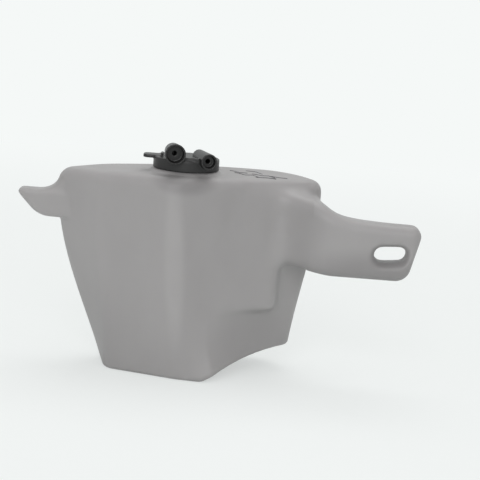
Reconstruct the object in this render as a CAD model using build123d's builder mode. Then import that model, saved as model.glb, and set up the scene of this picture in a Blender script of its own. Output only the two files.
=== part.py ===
"""Coolant reservoir: a blow-moulded tank with a mounting arm, its filler cap, seal and pickup tube.

Millimetres, +Z up. The origin lies on the plane that the tank stands on, under the middle of the
reservoir. X runs from the ear on the left to the arm on the right, and Y from the front to the back.
"""
import os
from math import cos, radians, sin, tan

from build123d import *

# Tank body: heights of its four plan outlines, the top one above the deck, its wall and rounded edges
step_height = 56.0
waist_height = 105.0
top_height = 166.0
wall = 2.6
limb_wall = 3.2
shoulder_radius = 9.5
floor_radius = 2.0

# Tank body: plan corners in order, from the left front round to the left end, and their radii
floor_corners = [
    (-82.0, -27.0),
    (-22.0, -45.0),
    (8.0, -48.6),
    (69.0, 16.2),
    (44.0, 42.0),
    (-62.0, 30.0),
    (-88.0, 8.0),
]
step_corners = [
    (-84.5, -32.3),
    (-25.5, -48.3),
    (-2.0, -37.8),
    (77.8, 16.2),
    (50.0, 46.0),
    (-75.0, 28.0),
    (-116.0, 7.0),
]
waist_corners = [
    (-92.0, -31.8),
    (-29.0, -49.8),
    (0.0, -36.8),
    (87.0, 14.2),
    (54.0, 49.0),
    (-92.0, 26.0),
    (-135.0, 3.0),
]
top_corners = [
    (-92.0, -31.8),
    (-33.0, -50.8),
    (4.0, -35.3),
    (87.5, 8.5),
    (58.5, 50.0),
    (-92.0, 25.0),
    (-136.5, -3.0),
]
floor_radii = [13.0, 60.0, 9.0, 14.0, 26.0, 34.0, 14.0]
step_radii = [16.0, 22.0, 25.0, 14.0, 26.0, 34.0, 14.0]
upper_radii = [16.0, 23.0, 60.0, 14.0, 40.0, 34.0, 14.0]

# Crowned deck: a slight arch along the tank
crown_height = 161.0
crown_x = -8.0
crown_radius = 1300.0

# Rising underside of the right part: a cylinder across the tank
arch_radius = 131.7
arch_centre_x = 68.5
arch_centre_z = -111.2

# Raised panel on the front
panel_left = -20.0
panel_right = 52.0
panel_bottom = 53.8
panel_top = 156.0
panel_front = -44.6
panel_slope = 22.0
slab_edge_radius = 7.5
step_edge_radius = 2.0

# Mounting arm, which the panel runs into through a double bend
arm_bend_start = 44.0
arm_bend_end = 92.0
arm_tip = 162.2
arm_front = -38.8
arm_thickness = 24.0
arm_heel = (80.0, 18.0)
panel_back = [(46.0, 14.0), (-16.0, -26.0)]
arm_bottom = 90.5
arm_root_bottom = 94.0
arm_root_radius = 5.0
arm_top = 134.5
arm_top_curve = [(121.4, 135.3), (104.0, 136.8), (92.0, 139.9), (81.0, 146.0), (62.0, 151.0)]
arm_tip_slant = 13.3
arm_tip_high_radius = 8.0
arm_tip_low_radius = 12.0

# Slot for the mounting bolt: the walls are pinched together round it, and it flares at both faces of the arm
slot_x = 137.2
slot_z = 111.3
slot_length = 25.5
slot_width = 12.5
slot_tilt = 4.5
slot_land = 5.0
slot_flare = 3.5
slot_flare_depth = 5.5

# Ear at the left: a wedge in elevation, whose front runs into the left end in a hollow curve
ear_tip = (-162.6, 138.3)
ear_tip_radius = 3.0
ear_bottom_corner = (-142.0, 116.4)
ear_bottom_radius = 22.0
ear_root_x = -100.0
ear_front = -14.0
ear_thickness = 14.0
ear_blend_start = -128.0
ear_blend_end = (-101.0, -23.0)
ear_edge_radius = 2.4

# Flare over the ear: its axis in plan, its reach at the ear's top, and its radius and rise at two places
flare_axis = (-113.2, -2.0)
flare_reach = 29.0
flare_middle = (19.8, 2.9)
flare_top = (14.0, 12.7)

# Filler neck
neck_x = -27.6
neck_y = -8.3
neck_diameter = 47.0
neck_wall = 2.6
neck_height = 5.0
seat_diameter = 55.0
seat_height = 1.8

# Filler cap
cap_clearance = 0.5
skirt_thickness = 2.0
skirt_gap = 0.6
disc_thickness = 3.1
cap_edge_radius = 1.2
tab_reach = 8.0
tab_width = 13.0
tab_thickness = 2.6
tab_rise = 0.5
tab_corner_radius = 4.0
fin_x = -46.5
fin_y = -15.8
fin_thickness = 2.0
fin_length = 9.0
fin_height = 3.2

# Hose sockets on the cap, the wide one at the left and the narrow one at the right: each tapers back from
# its mouth, and a small passage leads on from the bottom of its bore to a hole through the cap. Their axes'
# heights are measured from the top of the cap's disc.
wide_mouth = (-34.8, -40.3)
wide_height = 5.34775
wide_turn = 9.5
wide_diameter = 16.2
wide_end_diameter = 12.6
wide_bore = 13.4
wide_depth = 8.0
wide_length = 23.0
wide_reach = 17.2
narrow_mouth = (-8.6, -37.6)
narrow_height = 1.04775
narrow_turn = 16.5
narrow_diameter = 12.6
narrow_end_diameter = 10.4
narrow_bore = 9.6
narrow_depth = 5.0
narrow_length = 36.0
narrow_reach = 28.0
socket_end_radius = 3.0
passage_diameter = 3.4
web_left = -33.0
web_right = -13.0
web_y = -31.3
web_thickness = 2.8
web_height = 2.6

# Seal under the cap
seal_thickness = 1.4
seal_gap = 0.2
seal_clearance = 0.3

# Pickup tube, on a spigot under the narrow socket
spigot_length = 11.0
spigot_clearance = 0.05
tube_diameter = 8.0
tube_bore = 6.0
tube_top_gap = 0.2
tube_floor_gap = 9.0
tube_cut_angle = 30.0

# Where the pieces of the filler meet, going up from the crowned deck
neck_foot = crown_height - (neck_x - crown_x) ** 2 / (2 * crown_radius)
seat_top = neck_foot + seat_height
neck_top = seat_top + neck_height
skirt_bottom = seat_top + skirt_gap
disc_bottom = neck_top + seal_gap + seal_thickness
disc_top = disc_bottom + disc_thickness
skirt_bore = neck_diameter + 2 * cap_clearance
cap_diameter = skirt_bore + 2 * skirt_thickness
mouth_diameter = neck_diameter - 2 * neck_wall

overshoot = 200.0


def bounding_edges(faces):
    """The edges round a group of faces, without the seams between them."""
    return ShapeList(edge for edge in faces.edges() if sum(edge in face.edges() for face in faces) == 1)


def body_form(inset):
    """The body of the tank, drawn inset from its outside: 0 for the outside, the wall for the hollow."""
    stations = (
        (inset, floor_corners, floor_radii),
        (step_height, step_corners, step_radii),
        (waist_height, waist_corners, upper_radii),
        (top_height, top_corners, upper_radii),
    )
    with BuildPart() as form:
        for height, corners, radii in stations:
            with BuildSketch(Plane.XY.offset(height)):
                with BuildLine():
                    FilletPolyline(*corners, radius=radii, close=True)
                make_face()
                if inset:
                    offset(amount=-inset)
        loft()
        with BuildSketch(Plane.XZ):
            with Locations((crown_x, crown_height - crown_radius)):
                Circle(crown_radius - inset)
        extrude(amount=overshoot, both=True, mode=Mode.INTERSECT)
        fillet(form.faces().sort_by(Axis.Z)[-1].edges(), shoulder_radius - inset)
        with BuildSketch(Plane.XZ):
            with Locations((arch_centre_x, arch_centre_z)):
                Circle(arch_radius + inset)
        extrude(amount=overshoot, both=True, mode=Mode.SUBTRACT)
        if not inset:
            underside = form.faces().sort_by(lambda face: face.center().Z)[0:2]
            fillet(underside.edges(), floor_radius)
    return form.part


def slab_form(inset):
    """The raised panel and the mounting arm: one thick plate bent in plan and cut to its elevation."""
    slope = radians(panel_slope)
    front_y = panel_front + inset / cos(slope)
    bend_start = (arm_bend_start, front_y + (arm_bend_start - panel_left) * tan(slope))
    bend_end = (arm_bend_end, arm_front + inset)
    arm_back = arm_front + arm_thickness - inset
    heel = (arm_heel[0] - inset, arm_heel[1] - inset)
    past_tip = arm_tip + arm_thickness
    left = panel_left - wall
    bottom = arm_bottom + inset
    root = (panel_right - inset, arm_root_bottom + inset)
    tip_high = (arm_tip - 3 * inset, arm_top - inset)
    tip_low = (tip_high[0] - (arm_top - arm_bottom) * tan(radians(arm_tip_slant)), bottom)
    with BuildPart() as form:
        with BuildSketch(Plane.XY):
            with BuildLine():
                Line((panel_left, front_y), bend_start)
                Spline(bend_start, bend_end, tangents=((cos(slope), sin(slope)), (1, 0)))
                Polyline(bend_end, (past_tip, bend_end[1]), (past_tip, arm_back), (arm_bend_end, arm_back))
                Spline((arm_bend_end, arm_back), heel, tangents=((-1, 0.1), (-0.4, 1)))
                Polyline(heel, *panel_back, (panel_left, front_y))
            make_face()
        extrude(amount=crown_height)
        with BuildSketch(Plane.XZ) as elevation:
            with BuildLine():
                Polyline(
                    (left, panel_bottom + inset),
                    (root[0], panel_bottom + inset),
                    root,
                    (arm_bend_end, bottom),
                    tip_low,
                    tip_high,
                )
                Spline(
                    tip_high,
                    *[(x, z - inset) for x, z in arm_top_curve],
                    (left, panel_top - inset),
                    tangents=((-1, 0), (-1, 0)),
                )
                Line((left, panel_top - inset), (left, panel_bottom + inset))
            make_face()
            if not inset:
                fillet(elevation.vertices().sort_by_distance(tip_high)[0], arm_tip_high_radius)
                fillet(elevation.vertices().sort_by_distance(tip_low)[0], arm_tip_low_radius)
                fillet(elevation.vertices().sort_by_distance(root)[0], arm_root_radius)
        extrude(amount=overshoot, both=True, mode=Mode.INTERSECT)
        if not inset:
            front = form.faces().filter_by(lambda face: face.normal_at().Y < -0.5)
            rim = bounding_edges(front).filter_by(lambda edge: edge.center().X > panel_left + wall + 1)
            step = rim.filter_by(lambda edge: edge.center().Z < panel_bottom + 1)
            fillet([edge for edge in rim if edge not in step], slab_edge_radius)
            arm_faces = form.faces().filter_by(lambda face: face.center().X > arm_bend_end)
            back_rim = bounding_edges(arm_faces.filter_by(lambda face: face.normal_at().Y > 0.5))
            fillet(back_rim.filter_by(lambda edge: edge.center().X > arm_bend_end + 1), slab_edge_radius)
            step = form.faces().filter_by(lambda face: face.normal_at().Z < -0.9).sort_by(Axis.Z)[0].edges()
            fillet(step.sort_by(lambda edge: edge.center().Y)[0:3], step_edge_radius)
    return form.part


def ear_form(inset):
    """The ear at the left: a wedge in elevation, whose front runs into the left end in a hollow curve."""
    blend_start = (ear_blend_start, ear_front + inset)
    blend_end = (ear_blend_end[0], ear_blend_end[1] + inset)
    ear_back = ear_front + ear_thickness - inset
    ear_top = ear_tip[1] - inset
    past_tip = ear_tip[0] - ear_thickness
    corners = (
        (ear_root_x, ear_bottom_corner[1] + inset),
        (ear_bottom_corner[0] + inset / 2, ear_bottom_corner[1] + inset),
        (ear_tip[0] + 2 * inset, ear_top),
        (ear_root_x, ear_top),
    )
    with BuildPart() as form:
        with BuildSketch(Plane.XY):
            with BuildLine():
                Polyline(
                    blend_start,
                    (past_tip, blend_start[1]),
                    (past_tip, ear_back),
                    (ear_root_x, ear_back),
                    blend_end,
                )
                Spline(blend_start, blend_end, tangents=((1, 0), (0.75, -0.66)))
            make_face()
        extrude(amount=crown_height)
        with BuildSketch(Plane.XZ) as elevation:
            with BuildLine():
                Polyline(*corners, close=True)
            make_face()
            if not inset:
                fillet(elevation.vertices().sort_by_distance(corners[1])[0], ear_bottom_radius)
                fillet(elevation.vertices().sort_by_distance(corners[2])[0], ear_tip_radius)
        extrude(amount=overshoot, both=True, mode=Mode.INTERSECT)
        if not inset:
            sides = form.faces().filter_by(lambda face: abs(face.normal_at().Y) > 0.6)
            rim = bounding_edges(sides).filter_by(lambda edge: edge.center().X < ear_root_x - 1)
            fillet(rim, ear_edge_radius)
    return form.part


def flare_form(inset):
    """The flare over the ear: it sweeps down from the body's left corner onto the ear's top."""
    x, y = flare_axis
    ear_top = ear_tip[1] - inset
    foot = (x - flare_reach + inset, ear_top)
    middle = (x - flare_middle[0] + inset, ear_top + flare_middle[1])
    top = (x - flare_top[0] + inset, ear_top + flare_top[1])
    with BuildPart() as form:
        with BuildSketch(Plane.XZ.offset(-y)):
            with BuildLine():
                Spline(foot, middle, top, tangents=((1, 0.05), (0.1, 1)))
                Polyline(top, (x, top[1]), (x, ear_top - wall), (foot[0], ear_top - wall), foot)
            make_face()
        revolve(axis=Axis((x, y, 0), (0, 0, 1)))
        with Locations((x, ear_front + ear_thickness / 2, ear_top)):
            flare_width = ear_thickness - ear_edge_radius - 2 * inset
            Box(2 * flare_reach, flare_width, 2 * flare_reach, mode=Mode.INTERSECT)
    return form.part


arm_front_plane = Plane.XZ.offset(-arm_front)
arm_back_plane = Plane.XZ.offset(-arm_front - arm_thickness)

with BuildPart() as hollow:
    add(body_form(wall))
    add(slab_form(limb_wall))
    add(ear_form(limb_wall))
    add(flare_form(limb_wall))
    with BuildSketch(arm_front_plane):
        with Locations((slot_x, slot_z)):
            SlotOverall(slot_length + 2 * slot_land, slot_width + 2 * slot_land, rotation=slot_tilt)
    extrude(amount=-arm_thickness, mode=Mode.SUBTRACT)

with BuildPart() as reservoir_tank:
    add(body_form(0))
    add(slab_form(0))
    add(ear_form(0))
    add(flare_form(0))
    with BuildSketch(arm_front_plane):
        with Locations((slot_x, slot_z)):
            SlotOverall(slot_length, slot_width, rotation=slot_tilt)
    extrude(amount=-arm_thickness, mode=Mode.SUBTRACT)
    for face_plane, depth in ((arm_front_plane, -slot_flare_depth), (arm_back_plane, slot_flare_depth)):
        with BuildSketch(face_plane):
            with Locations((slot_x, slot_z)):
                SlotOverall(slot_length + 2 * slot_flare, slot_width + 2 * slot_flare, rotation=slot_tilt)
        with BuildSketch(face_plane.offset(depth)):
            with Locations((slot_x, slot_z)):
                SlotOverall(slot_length, slot_width, rotation=slot_tilt)
        loft(mode=Mode.SUBTRACT)
    with BuildSketch(Plane.XZ.offset(-neck_y)):
        with BuildLine():
            Polyline(
                (neck_x, neck_foot - wall),
                (neck_x + seat_diameter / 2, neck_foot - wall),
                (neck_x + seat_diameter / 2, seat_top),
                (neck_x + neck_diameter / 2, seat_top),
                (neck_x + neck_diameter / 2, neck_top),
                (neck_x, neck_top),
                close=True,
            )
        make_face()
    revolve(axis=Axis((neck_x, neck_y, 0), (0, 0, 1)))
    add(hollow.part, mode=Mode.SUBTRACT)
    with Locations((neck_x, neck_y, neck_top)):
        Cylinder(
            mouth_diameter / 2,
            neck_height + seat_height + 2 * wall,
            align=(Align.CENTER, Align.CENTER, Align.MAX),
            mode=Mode.SUBTRACT,
        )


def socket_plane(mouth, turn, height):
    """The plane of a hose socket's mouth: its z axis runs back into the cap and its y axis up."""
    lean = radians(turn)
    return Plane(
        origin=(mouth[0], mouth[1], height),
        x_dir=(cos(lean), sin(lean), 0),
        z_dir=(-sin(lean), cos(lean), 0),
    )


def socket_form(plane, diameter, end_diameter, length):
    """The outside of a hose socket, a round bar that tapers from its mouth to a rounded closed end."""
    with BuildPart() as form:
        with BuildSketch(plane):
            Circle(diameter / 2)
        with BuildSketch(plane.offset(length)):
            Circle(end_diameter / 2)
        loft()
        fillet(form.edges().filter_by(GeomType.CIRCLE).sort_by(Axis.Y)[-1], socket_end_radius)
    return form.part


wide_plane = socket_plane(wide_mouth, wide_turn, disc_top + wide_height)
narrow_plane = socket_plane(narrow_mouth, narrow_turn, disc_top + narrow_height)
wide_drop = (wide_plane * Pos(0, 0, wide_reach)).position
narrow_drop = (narrow_plane * Pos(0, 0, narrow_reach)).position

with BuildPart() as filler_cap:
    with BuildSketch(Plane.XY.offset(skirt_bottom)):
        with Locations((neck_x, neck_y)):
            Circle(cap_diameter / 2)
    extrude(amount=disc_top - skirt_bottom)
    fillet(filler_cap.edges().sort_by(Axis.Z)[-1], cap_edge_radius)
    with BuildSketch(Plane.XY.offset(disc_top + tab_rise)):
        with BuildLine():
            tab_end = neck_x - cap_diameter / 2 - tab_reach
            FilletPolyline(
                (neck_x, neck_y - tab_width / 2),
                (tab_end, neck_y - tab_width / 2),
                (tab_end, neck_y + tab_width / 2),
                (neck_x, neck_y + tab_width / 2),
                radius=tab_corner_radius,
            )
            Line((neck_x, neck_y + tab_width / 2), (neck_x, neck_y - tab_width / 2))
        make_face()
    extrude(amount=-tab_thickness)
    with Locations((fin_x, fin_y, disc_top - disc_thickness / 2)):
        Box(
            fin_thickness,
            fin_length,
            fin_height + disc_thickness / 2,
            align=(Align.CENTER, Align.CENTER, Align.MIN),
        )
    with Locations(((web_left + web_right) / 2, web_y, disc_top - disc_thickness / 2)):
        Box(
            web_right - web_left,
            web_thickness,
            web_height + disc_thickness / 2,
            align=(Align.CENTER, Align.CENTER, Align.MIN),
        )
    add(socket_form(wide_plane, wide_diameter, wide_end_diameter, wide_length))
    add(socket_form(narrow_plane, narrow_diameter, narrow_end_diameter, narrow_length))
    with BuildSketch(Plane.XY.offset(skirt_bottom)):
        with Locations((neck_x, neck_y)):
            Circle(skirt_bore / 2)
    extrude(amount=disc_bottom - skirt_bottom, mode=Mode.SUBTRACT)
    with Locations((narrow_drop.X, narrow_drop.Y, disc_bottom)):
        Cylinder(
            tube_bore / 2 - spigot_clearance,
            spigot_length,
            align=(Align.CENTER, Align.CENTER, Align.MAX),
        )
    for plane, bore, depth, reach in (
        (wide_plane, wide_bore, wide_depth, wide_reach),
        (narrow_plane, narrow_bore, narrow_depth, narrow_reach),
    ):
        with BuildSketch(plane):
            Circle(bore / 2)
        extrude(amount=depth, mode=Mode.SUBTRACT)
        with BuildSketch(plane):
            Circle(passage_diameter / 2)
        extrude(amount=reach + passage_diameter / 2, mode=Mode.SUBTRACT)
    for drop, hole_bottom in ((wide_drop, disc_bottom), (narrow_drop, disc_bottom - spigot_length)):
        with Locations((drop.X, drop.Y, drop.Z)):
            Cylinder(
                passage_diameter / 2,
                drop.Z - hole_bottom,
                align=(Align.CENTER, Align.CENTER, Align.MAX),
                mode=Mode.SUBTRACT,
            )

with BuildPart() as cap_seal:
    with BuildSketch(Plane.XY.offset(neck_top + seal_gap)):
        with Locations((neck_x, neck_y)):
            Circle(skirt_bore / 2 - seal_clearance)
            Circle(mouth_diameter / 2, mode=Mode.SUBTRACT)
    extrude(amount=seal_thickness)

with BuildPart() as pickup_tube:
    tube_top = disc_bottom - tube_top_gap
    tube_bottom = wall + tube_floor_gap
    with BuildSketch(Plane.XY.offset(tube_bottom)):
        with Locations((narrow_drop.X, narrow_drop.Y)):
            Circle(tube_diameter / 2)
            Circle(tube_bore / 2, mode=Mode.SUBTRACT)
    extrude(amount=tube_top - tube_bottom)
    with BuildSketch(Plane.XZ.offset(-narrow_drop.Y)):
        with BuildLine():
            cut_rise = tube_diameter * tan(radians(tube_cut_angle))
            Polyline(
                (narrow_drop.X - tube_diameter / 2, tube_bottom),
                (narrow_drop.X + tube_diameter / 2, tube_bottom),
                (narrow_drop.X + tube_diameter / 2, tube_bottom + cut_rise),
                close=True,
            )
        make_face()
    extrude(amount=tube_diameter, both=True, mode=Mode.SUBTRACT)

reservoir_tank.part.label = "reservoir_tank"
filler_cap.part.label = "filler_cap"
cap_seal.part.label = "cap_seal"
pickup_tube.part.label = "pickup_tube"

os.makedirs("parts", exist_ok=True)
export_step(reservoir_tank.part, "parts/reservoir_tank.step")
export_step(filler_cap.part, "parts/filler_cap.step")
export_step(cap_seal.part, "parts/cap_seal.step")
export_step(pickup_tube.part, "parts/pickup_tube.step")
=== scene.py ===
import math

import bmesh
import bpy
from bpy.props import FloatProperty, FloatVectorProperty, IntProperty, PointerProperty
from mathutils import Matrix, Vector


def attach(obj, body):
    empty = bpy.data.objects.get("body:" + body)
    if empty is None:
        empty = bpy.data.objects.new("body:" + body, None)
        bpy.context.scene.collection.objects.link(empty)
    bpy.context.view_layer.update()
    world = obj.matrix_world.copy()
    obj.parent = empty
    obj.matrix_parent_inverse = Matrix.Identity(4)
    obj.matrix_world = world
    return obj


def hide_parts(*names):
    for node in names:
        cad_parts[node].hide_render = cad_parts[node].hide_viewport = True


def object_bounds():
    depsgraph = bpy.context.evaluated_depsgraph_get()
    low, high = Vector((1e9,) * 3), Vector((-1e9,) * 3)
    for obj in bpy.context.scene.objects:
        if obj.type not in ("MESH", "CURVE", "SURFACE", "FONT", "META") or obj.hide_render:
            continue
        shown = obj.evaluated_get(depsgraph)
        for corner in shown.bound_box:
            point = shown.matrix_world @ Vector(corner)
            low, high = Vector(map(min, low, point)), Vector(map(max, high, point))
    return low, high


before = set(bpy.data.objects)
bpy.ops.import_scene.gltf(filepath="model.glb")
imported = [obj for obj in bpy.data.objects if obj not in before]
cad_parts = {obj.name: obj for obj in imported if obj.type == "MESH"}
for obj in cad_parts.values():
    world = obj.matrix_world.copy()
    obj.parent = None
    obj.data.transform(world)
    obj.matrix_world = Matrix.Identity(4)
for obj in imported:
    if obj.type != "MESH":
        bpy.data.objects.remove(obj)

bl_info = {
    "name": "Coolant reservoir",
    "version": (1, 0, 0),
    "blender": (4, 5, 0),
    "location": "3D View > Sidebar > Reservoir",
    "description": "Dresses the packed coolant reservoir: tank, cap, marks and studio",
    "category": "Object",
}

MM = 0.001
CAD_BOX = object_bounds()

# Verts of a CAD mesh that lie closer together than this become one.
MERGE_DISTANCE = 0.005 * MM
# In each pass a vert moves this share of the way to the middle of its neighbours.
RELAX_SHARE = 0.5
# The most triangles that each moulding keeps
TANK_TRIANGLES = 195000
CAP_TRIANGLES = 120000

# Boxes round the wide blend at the raised panel's right, lower and upper rims, open to the
# front: left, right, bottom, top and back, in millimetres
PANEL_RIMS = (
    (36, 74, 46, 118, 18),
    (-14, 74, 44, 64, 18),
    (20, 74, 134, 157, 14),
)

# Zones of the tank where painted shade or a painted highlight darkens or lightens the milky
# plastic's
# colour: centre, turn about the y axis in degrees, half sizes, and the tone at the middle, with
# lengths in millimetres
PAINTED_LIGHT_ZONES = (
    # Painted shadow of the cap, on the shoulder in front of it
    ((-24, -46, 160), 0, (32, 17, 14), 0.74),
    # Painted highlight down the rounded front corner
    ((-29.5, -50, 92), -4, (10, 18, 78), 1.09),
    # Painted shade on the lower part of the arm
    ((125, -39, 86), 4, (62, 26, 30), 0.76),
    # Painted shade in the recess under the raised panel's step
    ((38, -14, 26), 0, (62, 44, 34), 0.9),
    # Painted shade on the right flank under the arm's root
    ((84, 0, 84), 0, (22, 40, 34), 0.9),
)
# Shares of a zone's half sizes: its tone is full within the first and gone beyond the second.
ZONE_CORE = 0.45
ZONE_EDGE = 1.1

# A pattern's tone runs from its first colour to its second between these noise values.
NOISE_LOW = 0.3
NOISE_HIGH = 0.7

# Strokes of the marker, as (x, y) points on the deck in millimetres
MARK_STROKES = (
    ((8, 13), (14, 7), (20, 8)),
    ((12, 4), (18, -3), (24, 0), (29, -7)),
    ((21, 20), (27, 19), (32, 10)),
    ((26, 6), (32, 2), (37, 5), (42, -2)),
    ((29, -9), (36, -6), (43, -5)),
    ((40, 4), (46, 2), (52, 3)),
)
# The strokes are drawn at this height, above the deck, and then laid down onto it.
STROKE_START = 170.0 * MM
# Cuts in each side of a stroke's faces, so that they follow the deck's curve
STROKE_CUTS = 5

# The floor and the backdrop that it sweeps up into, in metres, and the gap under the tank
FLOOR_SIDE = 7.0
FLOOR_GAP = 0.1 * MM
BACKDROP_HEIGHT = 4.0
SWEEP_RADIUS = 1.2
SWEEP_SEGMENTS = 16

# Softboxes: name, place and side in metres, and the studio setting that holds the power
SOFTBOXES = (
    ("key_softbox", (-0.2, -2.2, 1.2), 1.4, "key_power"),
    ("rear_softbox", (0.1, 0.55, 1.6), 1.1, "rear_power"),
)
WHITE = (1.0, 1.0, 1.0, 1.0)
# The camera's sensor, in millimetres
SENSOR_WIDTH = 36.0


def linear(hex_colour):
    """Turns an sRGB hex colour into Blender's linear red, green, blue and alpha."""
    channels = [int(hex_colour[i : i + 2], 16) / 255 for i in (1, 3, 5)]
    lit = [c / 12.92 if c <= 0.04045 else ((c + 0.055) / 1.055) ** 2.4 for c in channels]
    return (*lit, 1.0)


def length_property(name, description, default, least):
    """A length of the mouldings or marks, shown finely enough for tenths of a millimetre."""
    return FloatProperty(
        name=name,
        description=description,
        default=default,
        min=least,
        unit="LENGTH",
        precision=5,
    )


def passes_property(name, description, default):
    """How often a surface is relaxed."""
    return IntProperty(name=name, description=description, default=default, min=0)


def colour_property(name, description, hex_colour):
    """A colour with alpha, given as the sRGB hex colour that is seen."""
    return FloatVectorProperty(
        name=name,
        description=description,
        subtype="COLOR",
        size=4,
        min=0,
        max=1,
        default=linear(hex_colour),
    )


class ReservoirSizes(bpy.types.PropertyGroup):
    blend_grid: length_property(
        "Tank blend grid",
        "Mesh size on which the tank's moulded blends are rounded",
        default=1.3 * MM,
        least=0.8 * MM,
    )
    blend_passes: passes_property(
        "Tank blend passes",
        "How often the tank's surface is relaxed; more passes give larger blends",
        default=10,
    )
    soft_passes: passes_property(
        "Panel blend passes",
        "How often the rim of the raised panel is relaxed further",
        default=60,
    )
    cap_grid: length_property(
        "Cap blend grid",
        "Mesh size on which the cap's moulded corners are rounded",
        default=0.5 * MM,
        least=0.3 * MM,
    )
    cap_passes: passes_property(
        "Cap blend passes",
        "How often the cap's surface is relaxed",
        default=4,
    )
    stroke_width: length_property(
        "Mark width",
        "Width of the marker's strokes on the tank's top",
        default=2.4 * MM,
        least=0.3 * MM,
    )
    stroke_height: length_property(
        "Mark height",
        "How far the dried ink stands up",
        default=0.15 * MM,
        least=0.02 * MM,
    )


class ReservoirColours(bpy.types.PropertyGroup):
    tank: colour_property("Tank", "The milky natural plastic of the tank", "#999797")
    cap: colour_property("Cap", "The black plastic of the cap", "#1e1e1e")
    seal: colour_property("Seal", "The rubber of the ring in the cap", "#141414")
    tube: colour_property("Tube", "The natural plastic of the pickup tube", "#c4c5c1")
    ink: colour_property("Ink", "The worn marker on the tank's top", "#454547")
    backdrop: colour_property(
        "Backdrop", "The pale floor and backdrop as the camera sees them", "#f5f8f7"
    )


class ReservoirStudio(bpy.types.PropertyGroup):
    target: FloatVectorProperty(
        name="Camera target",
        description="The point that the camera looks at",
        subtype="TRANSLATION",
        size=3,
        default=(19.4 * MM, -3.3 * MM, 108.0 * MM),
    )
    elevation: FloatProperty(
        name="Camera elevation",
        description="How far the camera looks down",
        default=math.radians(11.2),
        subtype="ANGLE",
    )
    roll: FloatProperty(
        name="Camera roll",
        description="How far the photograph is turned about its middle",
        default=math.radians(4.5),
        subtype="ANGLE",
    )
    distance: FloatProperty(
        name="Camera distance",
        description="From the camera to its target",
        default=1121.0 * MM,
        unit="LENGTH",
    )
    lens: FloatProperty(
        name="Lens",
        description="Focal length on a 36 mm sensor",
        default=105.0,
        subtype="DISTANCE_CAMERA",
    )
    sky: FloatProperty(
        name="Sky",
        description="Strength of the even light from all round",
        default=0.61,
        min=0,
    )
    key_power: FloatProperty(
        name="Key light",
        description="Power of the large soft light in front and above, in watts",
        default=23.0,
        min=0,
    )
    rear_power: FloatProperty(
        name="Rear light",
        description="Power of the soft light above and behind, in watts",
        default=9.0,
        min=0,
    )


def select_none():
    """Deselects every object."""
    bpy.ops.object.select_all(action="DESELECT")


def select_only(piece):
    """Selects one object and makes it active, with everything else deselected."""
    select_none()
    piece.select_set(True)
    bpy.context.view_layer.objects.active = piece


def copy_of_node(node, name):
    """Makes a new object from a CAD node's mesh, with its loose triangles merged."""
    piece = bpy.data.objects.new(name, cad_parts[node].data.copy())
    piece.data.name = name
    piece.data.materials.clear()
    bpy.context.scene.collection.objects.link(piece)
    select_only(piece)
    bpy.ops.object.mode_set(mode="EDIT")
    bpy.ops.mesh.select_all(action="SELECT")
    bpy.ops.mesh.remove_doubles(threshold=MERGE_DISTANCE)
    bpy.ops.mesh.customdata_custom_splitnormals_clear()
    bpy.ops.object.mode_set(mode="OBJECT")
    return piece


def apply_modifier(piece, kind, **settings):
    """Adds a modifier to the active piece, sets it and applies it."""
    bpy.ops.object.modifier_add(type=kind)
    modifier = piece.modifiers[-1]
    for name, value in settings.items():
        setattr(modifier, name, value)
    bpy.ops.object.modifier_apply(modifier=modifier.name)


def pick(piece, kind, rule):
    """Selects, in edit mode, only the verts or edges of the piece that the rule takes."""
    bpy.ops.mesh.select_mode(type={"verts": "VERT", "edges": "EDGE"}[kind])
    bpy.ops.mesh.select_all(action="DESELECT")
    cage = bmesh.from_edit_mesh(piece.data)
    for element in getattr(cage, kind):
        element.select_set(rule(element))
    bmesh.update_edit_mesh(piece.data)


def middle(edge):
    """The middle of an edge."""
    return (edge.verts[0].co + edge.verts[1].co) / 2


def round_moulding(piece, grid, passes, most_triangles, soft_rule=None, soft_passes=0):
    """Gives a moulded piece its soft corners: an even mesh, relaxed, and thinned to a fair size.

    The verts that soft_rule takes are relaxed further, where the moulding has a wider blend.
    """
    apply_modifier(piece, "REMESH", mode="VOXEL", voxel_size=grid)
    apply_modifier(piece, "SMOOTH", factor=RELAX_SHARE, iterations=passes)
    if soft_rule:
        bpy.ops.object.mode_set(mode="EDIT")
        pick(piece, "verts", soft_rule)
        bpy.ops.mesh.vertices_smooth(factor=RELAX_SHARE, repeat=soft_passes)
        bpy.ops.object.mode_set(mode="OBJECT")
    piece.data.calc_loop_triangles()
    share = most_triangles / len(piece.data.loop_triangles)
    if share < 1:
        apply_modifier(piece, "DECIMATE", ratio=share)
    bpy.ops.object.shade_smooth()


def on_panel_rim(vert):
    """Whether a vert of the tank lies on the wide blend at a rim of the raised panel."""
    x, y, z = vert.co
    return any(
        left * MM < x < right * MM and bottom * MM < z < top * MM and y < back * MM
        for left, right, bottom, top, back in PANEL_RIMS
    )


def add_node(tree, kind, inputs=None, stops=(), **settings):
    """Adds a shader node with its settings; an input is a value or the socket that feeds it.

    The stops are the places and colours of a colour ramp's two ends.
    """
    node = tree.nodes.new(kind)
    for name, value in settings.items():
        setattr(node, name, value)
    for index, (position, colour) in enumerate(stops):
        node.color_ramp.elements[index].position = position
        node.color_ramp.elements[index].color = colour
    for name, value in (inputs or {}).items():
        if isinstance(value, bpy.types.NodeSocket):
            tree.links.new(value, node.inputs[name])
        else:
            node.inputs[name].default_value = value
    return node


def start_material(name):
    """Starts a node material, and gives it with its tree and the place on the object."""
    material = bpy.data.materials.new(name)
    material.use_nodes = True
    tree = material.node_tree
    tree.nodes.clear()
    return material, tree, add_node(tree, "ShaderNodeTexCoord").outputs["Object"]


def end_material(material, surface):
    """Joins the finished surface to the material's output."""
    add_node(material.node_tree, "ShaderNodeOutputMaterial", {"Surface": surface})
    return material


def shade(colour, factor):
    """A lighter or darker tone of a linear colour."""
    return (*[c * factor for c in colour[:3]], 1.0)


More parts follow.
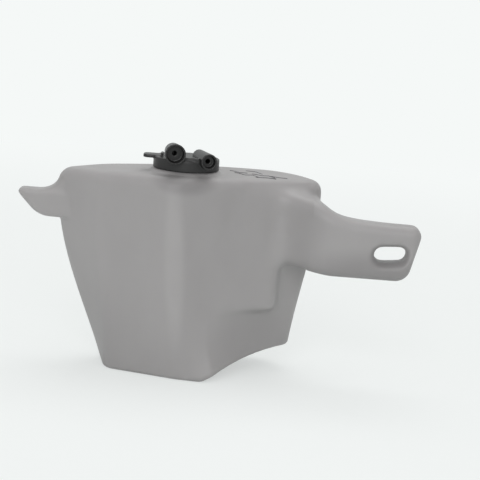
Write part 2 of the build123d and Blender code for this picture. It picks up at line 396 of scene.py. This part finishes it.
def paint_light_and_shade(tree, place, tone):
    """The milky plastic's tone, with painted shade and a painted highlight laid on in fixed zones.
    """
    for centre, turn, halves, factor in PAINTED_LIGHT_ZONES:
        zone = add_node(
            tree,
            "ShaderNodeMapping",
            {
                "Vector": place,
                "Location": [value * MM for value in centre],
                "Rotation": (0.0, math.radians(turn), 0.0),
                "Scale": [value * MM for value in halves],
            },
            vector_type="TEXTURE",
        )
        reach = add_node(
            tree, "ShaderNodeVectorMath", {0: zone.outputs["Vector"]}, operation="LENGTH"
        )
        strength = add_node(
            tree,
            "ShaderNodeMapRange",
            {
                "Value": reach.outputs["Value"],
                "From Min": ZONE_CORE,
                "From Max": ZONE_EDGE,
                "To Min": factor,
            },
            interpolation_type="SMOOTHSTEP",
        )
        toned = add_node(
            tree,
            "ShaderNodeVectorMath",
            {"Vector": tone, "Scale": strength.outputs["Result"]},
            operation="SCALE",
        )
        tone = toned.outputs["Vector"]
    return tone


def blow_moulded_polyethylene(colour):
    """Natural high-density polyethylene, blow moulded: milky, satin, a little uneven.

    The parison is blown against a blasted mould, so the surface has a fine grit under a satin
    gloss, slow waves where the wall thickness changes, and cloudy tones in the milky plastic.
    """
    material, tree, place = start_material("natural_polyethylene_blow_moulded")
    flow = add_node(tree, "ShaderNodeMapping", {"Vector": place, "Scale": (1.0, 1.0, 0.55)})
    clouds = add_node(
        tree,
        "ShaderNodeTexNoise",
        {
            "Vector": flow.outputs["Vector"],
            "Scale": 1 / (60 * MM),
            "Detail": 3.0,
            "Roughness": 0.55,
        },
    )
    cloudy = add_node(
        tree,
        "ShaderNodeValToRGB",
        {"Fac": clouds.outputs["Fac"]},
        stops=((NOISE_LOW, shade(colour, 0.95)), (NOISE_HIGH, shade(colour, 1.05))),
    )
    waves = add_node(
        tree,
        "ShaderNodeTexNoise",
        {"Vector": place, "Scale": 1 / (26 * MM), "Detail": 1.0, "Roughness": 0.4},
    )
    wavy = add_node(
        tree,
        "ShaderNodeBump",
        {"Height": waves.outputs["Fac"], "Distance": 0.35 * MM, "Strength": 0.6},
    )
    # The mould's blasted grit is about 0.1 mm; it is drawn at 1.2 mm so that the render shows it.
    grit = add_node(
        tree,
        "ShaderNodeTexNoise",
        {"Vector": place, "Scale": 1 / (1.2 * MM), "Detail": 2.0, "Roughness": 0.6},
    )
    gritty = add_node(
        tree,
        "ShaderNodeBump",
        {
            "Height": grit.outputs["Fac"],
            "Distance": 0.05 * MM,
            "Strength": 0.35,
            "Normal": wavy.outputs["Normal"],
        },
    )
    gloss = add_node(
        tree,
        "ShaderNodeMapRange",
        {"Value": waves.outputs["Fac"], "To Min": 0.46, "To Max": 0.54},
    )
    surface = add_node(
        tree,
        "ShaderNodeBsdfPrincipled",
        {
            # The base colour carries painted shade and a painted highlight in fixed zones.
            "Base Color": paint_light_and_shade(tree, place, cloudy.outputs["Color"]),
            "Roughness": gloss.outputs["Result"],
            "IOR": 1.53,
            "Subsurface Weight": 0.3,
            "Subsurface Radius": (1.0, 0.95, 0.9),
            "Subsurface Scale": 6 * MM,
            "Normal": gritty.outputs["Normal"],
        },
    )
    return end_material(material, surface.outputs["BSDF"])


def moulded_polypropylene(colour):
    """Black polypropylene, injection moulded in a spark-eroded tool: a low, even satin grain."""
    material, tree, place = start_material("black_polypropylene_moulded")
    # Spark-eroded grain is about 0.08 mm; it is drawn at 0.6 mm so that the render shows it.
    grain = add_node(
        tree,
        "ShaderNodeTexNoise",
        {"Vector": place, "Scale": 1 / (0.6 * MM), "Detail": 2.0, "Roughness": 0.6},
    )
    grainy = add_node(
        tree,
        "ShaderNodeBump",
        {"Height": grain.outputs["Fac"], "Distance": 0.04 * MM, "Strength": 0.4},
    )
    handled = add_node(
        tree,
        "ShaderNodeTexNoise",
        {"Vector": place, "Scale": 1 / (14 * MM), "Detail": 3.0, "Roughness": 0.6},
    )
    worn = add_node(
        tree,
        "ShaderNodeValToRGB",
        {"Fac": handled.outputs["Fac"]},
        stops=((NOISE_LOW, shade(colour, 0.85)), (NOISE_HIGH, shade(colour, 1.25))),
    )
    gloss = add_node(
        tree,
        "ShaderNodeMapRange",
        {"Value": handled.outputs["Fac"], "To Min": 0.36, "To Max": 0.5},
    )
    # Painted shade: the colour darkens by ambient occlusion in the sockets' bores and other
    # hollows.
    hollow = add_node(tree, "ShaderNodeAmbientOcclusion", {"Distance": 9 * MM}, samples=8)
    painted_shade = add_node(
        tree,
        "ShaderNodeMapRange",
        {
            "Value": hollow.outputs["AO"],
            "From Min": 0.3,
            "From Max": 0.7,
            "To Min": 0.6,
            "To Max": 1.0,
        },
    )
    painted_shade_tone = add_node(
        tree,
        "ShaderNodeVectorMath",
        {"Vector": worn.outputs["Color"], "Scale": painted_shade.outputs["Result"]},
        operation="SCALE",
    )
    surface = add_node(
        tree,
        "ShaderNodeBsdfPrincipled",
        {
            "Base Color": painted_shade_tone.outputs["Vector"],
            "Roughness": gloss.outputs["Result"],
            "IOR": 1.49,
            "Normal": grainy.outputs["Normal"],
        },
    )
    return end_material(material, surface.outputs["BSDF"])


def moulded_rubber(colour):
    """Black EPDM rubber, moulded: matt, with a faint bloom that greys it in patches."""
    material, tree, place = start_material("black_epdm_rubber_moulded")
    bloom = add_node(
        tree,
        "ShaderNodeTexNoise",
        {"Vector": place, "Scale": 1 / (5 * MM), "Detail": 4.0, "Roughness": 0.6},
    )
    bloomed = add_node(
        tree,
        "ShaderNodeValToRGB",
        {"Fac": bloom.outputs["Fac"]},
        stops=((NOISE_LOW, colour), (NOISE_HIGH, shade(colour, 2.2))),
    )
    surface = add_node(
        tree,
        "ShaderNodeBsdfPrincipled",
        {
            "Base Color": bloomed.outputs["Color"],
            "Roughness": 0.78,
            "IOR": 1.52,
            "Sheen Weight": 0.1,
        },
    )
    return end_material(material, surface.outputs["BSDF"])


def extruded_polyethylene(colour):
    """Natural polyethylene tube, extruded: cloudy white with faint lines along its length."""
    material, tree, place = start_material("natural_polyethylene_extruded")
    # Die lines are about 0.1 mm apart; they are drawn 0.8 mm apart so that the render shows them.
    along = add_node(
        tree,
        "ShaderNodeMapping",
        {"Vector": place, "Scale": (1 / (0.8 * MM), 1 / (0.8 * MM), 1 / (60 * MM))},
    )
    lines = add_node(
        tree,
        "ShaderNodeTexNoise",
        {"Vector": along.outputs["Vector"], "Scale": 1.0, "Detail": 2.0},
    )
    streaked = add_node(
        tree,
        "ShaderNodeValToRGB",
        {"Fac": lines.outputs["Fac"]},
        stops=((NOISE_LOW, shade(colour, 0.93)), (NOISE_HIGH, colour)),
    )
    lined = add_node(
        tree,
        "ShaderNodeBump",
        {"Height": lines.outputs["Fac"], "Distance": 0.04 * MM, "Strength": 0.4},
    )
    surface = add_node(
        tree,
        "ShaderNodeBsdfPrincipled",
        {
            "Base Color": streaked.outputs["Color"],
            "Roughness": 0.38,
            "IOR": 1.53,
            "Subsurface Weight": 0.2,
            "Subsurface Radius": (1.0, 0.95, 0.9),
            "Subsurface Scale": 2 * MM,
            "Normal": lined.outputs["Normal"],
        },
    )
    return end_material(material, surface.outputs["BSDF"])


def marker_ink(colour):
    """Felt marker on polyethylene: a thin dry film, patchy because the plastic sheds it."""
    material, tree, place = start_material("marker_ink_dried")
    patches = add_node(
        tree,
        "ShaderNodeTexNoise",
        {"Vector": place, "Scale": 1 / (3 * MM), "Detail": 3.0, "Roughness": 0.65},
    )
    patchy = add_node(
        tree,
        "ShaderNodeValToRGB",
        {"Fac": patches.outputs["Fac"]},
        stops=((NOISE_LOW, colour), (NOISE_HIGH, shade(colour, 1.6))),
    )
    surface = add_node(
        tree,
        "ShaderNodeBsdfPrincipled",
        {"Base Color": patchy.outputs["Color"], "Roughness": 0.6, "IOR": 1.45},
    )
    return end_material(material, surface.outputs["BSDF"])


def direct_rays(tree):
    """One for a camera, glossy or transmission ray, and nought for the light on other things."""
    path = add_node(tree, "ShaderNodeLightPath")
    direct = path.outputs["Is Camera Ray"]
    for ray in ("Is Glossy Ray", "Is Transmission Ray"):
        either = add_node(
            tree, "ShaderNodeMath", {0: direct, 1: path.outputs[ray]}, operation="MAXIMUM"
        )
        direct = either.outputs["Value"]
    return direct


def studio_paper(colour):
    """Matt backdrop paper: near white to the camera, and shaded softly round the object."""
    material, tree, place = start_material("backdrop_paper_matt")
    fibre = add_node(
        tree,
        "ShaderNodeTexNoise",
        {"Vector": place, "Scale": 1 / (400 * MM), "Detail": 2.0, "Roughness": 0.5},
    )
    fibrous = add_node(
        tree,
        "ShaderNodeValToRGB",
        {"Fac": fibre.outputs["Fac"]},
        stops=((NOISE_LOW, shade(colour, 0.88)), (NOISE_HIGH, shade(colour, 0.9))),
    )
    matt = add_node(tree, "ShaderNodeBsdfDiffuse", {"Color": fibrous.outputs["Color"]})
    glow = add_node(tree, "ShaderNodeEmission", {"Color": colour, "Strength": 1.0})
    away = add_node(tree, "ShaderNodeVectorMath", {0: place}, operation="LENGTH")
    # Within 0.3 m of the object the paper keeps nearly half of its own shade, and none past 1.3 m.
    lift = add_node(
        tree,
        "ShaderNodeMapRange",
        {
            "Value": away.outputs["Value"],
            "From Min": 0.3,
            "From Max": 1.3,
            "To Min": 0.55,
            "To Max": 1.0,
        },
        interpolation_type="SMOOTHSTEP",
    )
    lifted = add_node(
        tree,
        "ShaderNodeMixShader",
        {"Fac": lift.outputs["Result"], 1: matt.outputs["BSDF"], 2: glow.outputs["Emission"]},
    )
    paper = add_node(
        tree,
        "ShaderNodeMixShader",
        {"Fac": direct_rays(tree), 1: matt.outputs["BSDF"], 2: lifted.outputs["Shader"]},
    )
    return end_material(material, paper.outputs["Shader"])


class RESERVOIR_OT_tank(bpy.types.Operator):
    """Round the tank's blends as blow moulding does, and give it its milky plastic"""

    bl_idname = "reservoir.tank"
    bl_label = "Blow-moulded tank"

    def execute(self, context):
        sizes = context.scene.reservoir_sizes
        shell = copy_of_node("reservoir_tank", "tank_shell")
        round_moulding(
            shell,
            sizes.blend_grid,
            sizes.blend_passes,
            TANK_TRIANGLES,
            on_panel_rim,
            sizes.soft_passes,
        )
        shell.data.materials.append(
            blow_moulded_polyethylene(context.scene.reservoir_colours.tank)
        )
        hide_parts("reservoir_tank")
        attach(shell, "tank")
        return {"FINISHED"}


class RESERVOIR_OT_cap(bpy.types.Operator):
    """Round the cap's moulded corners and give it its black plastic"""

    bl_idname = "reservoir.cap"
    bl_label = "Filler cap"

    def execute(self, context):
        sizes = context.scene.reservoir_sizes
        moulding = copy_of_node("filler_cap", "cap_moulding")
        round_moulding(moulding, sizes.cap_grid, sizes.cap_passes, CAP_TRIANGLES)
        moulding.data.materials.append(moulded_polypropylene(context.scene.reservoir_colours.cap))
        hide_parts("filler_cap")
        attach(moulding, "cap")
        return {"FINISHED"}


def draw_stroke(points, width):
    """Draws one stroke of a chisel-tipped marker above the deck: its edge keeps one direction."""
    points = [Vector((x * MM, y * MM, STROKE_START)) for x, y in points]
    select_none()
    bpy.ops.mesh.primitive_plane_add(size=width, location=points[0])
    stroke = bpy.context.object
    bpy.ops.object.transform_apply(location=True, rotation=True, scale=True)
    bpy.ops.object.mode_set(mode="EDIT")
    # Only the right edge's middle lies this far right.
    far_right = points[0].x + width * 0.4
    pick(stroke, "edges", lambda edge: middle(edge).x > far_right)
    for before, after in zip(points, points[1:]):
        bpy.ops.mesh.extrude_region_move(TRANSFORM_OT_translate={"value": after - before})
    bpy.ops.mesh.select_all(action="SELECT")
    bpy.ops.mesh.subdivide(number_cuts=STROKE_CUTS)
    bpy.ops.object.mode_set(mode="OBJECT")
    return stroke


class RESERVOIR_OT_deck_marks(bpy.types.Operator):
    """Draw the worn marker strokes on the deck, as plain waves that spell nothing"""

    bl_idname = "reservoir.deck_marks"
    bl_label = "Marks on the deck"

    def execute(self, context):
        sizes = context.scene.reservoir_sizes
        strokes = [draw_stroke(points, sizes.stroke_width) for points in MARK_STROKES]
        for stroke in strokes:
            stroke.select_set(True)
        bpy.ops.object.join()
        marks = context.object
        marks.name = "deck_marks"
        marks.data.name = marks.name
        apply_modifier(
            marks,
            "SHRINKWRAP",
            target=bpy.data.objects["tank_shell"],
            wrap_method="PROJECT",
            use_project_z=True,
            use_negative_direction=True,
            use_positive_direction=False,
            offset=sizes.stroke_height / 2,
        )
        apply_modifier(marks, "SOLIDIFY", thickness=sizes.stroke_height, offset=0.0)
        marks.data.materials.append(marker_ink(context.scene.reservoir_colours.ink))
        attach(marks, "tank")
        return {"FINISHED"}


class RESERVOIR_OT_inner_parts(bpy.types.Operator):
    """Give the seal and the pickup tube their finishes"""

    bl_idname = "reservoir.inner_parts"
    bl_label = "Seal and pickup tube"

    def execute(self, context):
        colours = context.scene.reservoir_colours
        finishes = {
            "cap_seal": moulded_rubber(colours.seal),
            "pickup_tube": extruded_polyethylene(colours.tube),
        }
        for node, material in finishes.items():
            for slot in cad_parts[node].material_slots:
                slot.material = material
        return {"FINISHED"}


def lay_floor(colour):
    """Makes the floor, swept up behind the object into a backdrop."""
    select_none()
    bpy.ops.mesh.primitive_plane_add(size=FLOOR_SIDE, location=(0, 0, -FLOOR_GAP))
    floor = bpy.context.object
    floor.name = "studio_floor"
    floor.data.name = floor.name
    bpy.ops.object.transform_apply(location=True, rotation=True, scale=True)
    bpy.ops.object.mode_set(mode="EDIT")
    # Only the back edge's middle lies this far back.
    far_back = FLOOR_SIDE * 0.49
    pick(floor, "edges", lambda edge: middle(edge).y > far_back)
    bpy.ops.mesh.extrude_region_move(TRANSFORM_OT_translate={"value": (0, 0, BACKDROP_HEIGHT)})
    pick(floor, "edges", lambda edge: middle(edge).y > far_back and middle(edge).z < 0)
    bpy.ops.mesh.bevel(offset=SWEEP_RADIUS, segments=SWEEP_SEGMENTS, affect="EDGES")
    bpy.ops.mesh.select_all(action="SELECT")
    bpy.ops.mesh.normals_make_consistent(inside=False)
    bpy.ops.object.mode_set(mode="OBJECT")
    bpy.ops.object.shade_smooth()
    floor.data.materials.append(studio_paper(colour))


def light_sky(strength, colour):
    """Lights the object evenly from all round, and shows the backdrop's colour past the floor."""
    world = bpy.data.worlds.new("even_studio_light")
    world.use_nodes = True
    tree = world.node_tree
    tree.nodes.clear()
    even = add_node(tree, "ShaderNodeBackground", {"Color": WHITE, "Strength": strength})
    beyond = add_node(tree, "ShaderNodeBackground", {"Color": colour, "Strength": 1.0})
    sky = add_node(
        tree,
        "ShaderNodeMixShader",
        {
            "Fac": add_node(tree, "ShaderNodeLightPath").outputs["Is Camera Ray"],
            1: even.outputs["Background"],
            2: beyond.outputs["Background"],
        },
    )
    add_node(tree, "ShaderNodeOutputWorld", {"Surface": sky.outputs["Shader"]})
    bpy.context.scene.world = world


def hang_light(name, place, side, power):
    """Hangs a square softbox that faces the object."""
    select_none()
    bpy.ops.object.light_add(type="AREA", location=place)
    light = bpy.context.object
    light.name = name
    light.data.name = name
    light.data.size = side
    light.data.energy = power
    towards = Vector(CAD_BOX[0] + CAD_BOX[1]) / 2 - Vector(place)
    light.rotation_euler = towards.to_track_quat("-Z", "Y").to_euler()


def set_camera(studio):
    """Places the camera at the photograph's angle, with its roll."""
    target = Vector(studio.target)
    back = Vector((0.0, -math.cos(studio.elevation), math.sin(studio.elevation)))
    across = Vector((0.0, 0.0, 1.0)).cross(back).normalized()
    up = back.cross(across)
    side = across * math.cos(studio.roll) + up * math.sin(studio.roll)
    top = up * math.cos(studio.roll) - across * math.sin(studio.roll)
    select_none()
    bpy.ops.object.camera_add(location=target + back * studio.distance)
    camera = bpy.context.object
    camera.name = "photo_camera"
    camera.data.lens = studio.lens
    camera.data.sensor_width = SENSOR_WIDTH
    axes = Matrix((side, top, back)).transposed().to_4x4()
    camera.matrix_world = Matrix.Translation(target + back * studio.distance) @ axes
    bpy.context.scene.camera = camera


class RESERVOIR_OT_studio(bpy.types.Operator):
    """Lay the pale floor with its swept backdrop, hang the lights and set the camera"""

    bl_idname = "reservoir.studio"
    bl_label = "Studio"

    def execute(self, context):
        studio = context.scene.reservoir_studio
        colours = context.scene.reservoir_colours
        lay_floor(colours.backdrop)
        light_sky(studio.sky, colours.backdrop)
        for name, place, side, power in SOFTBOXES:
            hang_light(name, place, side, getattr(studio, power))
        set_camera(studio)
        context.scene.view_settings.view_transform = "Standard"
        return {"FINISHED"}


class RESERVOIR_PT_sidebar(bpy.types.Panel):
    bl_idname = "RESERVOIR_PT_sidebar"
    bl_label = "Coolant reservoir"
    bl_space_type = "VIEW_3D"
    bl_region_type = "UI"
    bl_category = "Reservoir"

    def draw(self, context):
        scene = context.scene
        for group in (scene.reservoir_sizes, scene.reservoir_colours, scene.reservoir_studio):
            box = self.layout.box()
            for name in group.__annotations__:
                box.prop(group, name)
        for operator in OPERATORS:
            self.layout.operator(operator.bl_idname)


GROUPS = {
    "reservoir_sizes": ReservoirSizes,
    "reservoir_colours": ReservoirColours,
    "reservoir_studio": ReservoirStudio,
}
OPERATORS = (
    RESERVOIR_OT_tank,
    RESERVOIR_OT_cap,
    RESERVOIR_OT_deck_marks,
    RESERVOIR_OT_inner_parts,
    RESERVOIR_OT_studio,
)


def register():
    for name, group in GROUPS.items():
        bpy.utils.register_class(group)
        setattr(bpy.types.Scene, name, PointerProperty(type=group))
    for operator in OPERATORS:
        bpy.utils.register_class(operator)
    bpy.utils.register_class(RESERVOIR_PT_sidebar)


def unregister():
    bpy.utils.unregister_class(RESERVOIR_PT_sidebar)
    for operator in reversed(OPERATORS):
        bpy.utils.unregister_class(operator)
    for name, group in reversed(GROUPS.items()):
        delattr(bpy.types.Scene, name)
        bpy.utils.unregister_class(group)


def main():
    register()
    bpy.ops.reservoir.tank()
    bpy.ops.reservoir.cap()
    bpy.ops.reservoir.deck_marks()
    bpy.ops.reservoir.inner_parts()
    bpy.ops.reservoir.studio()


if __name__ == "__main__":
    main()
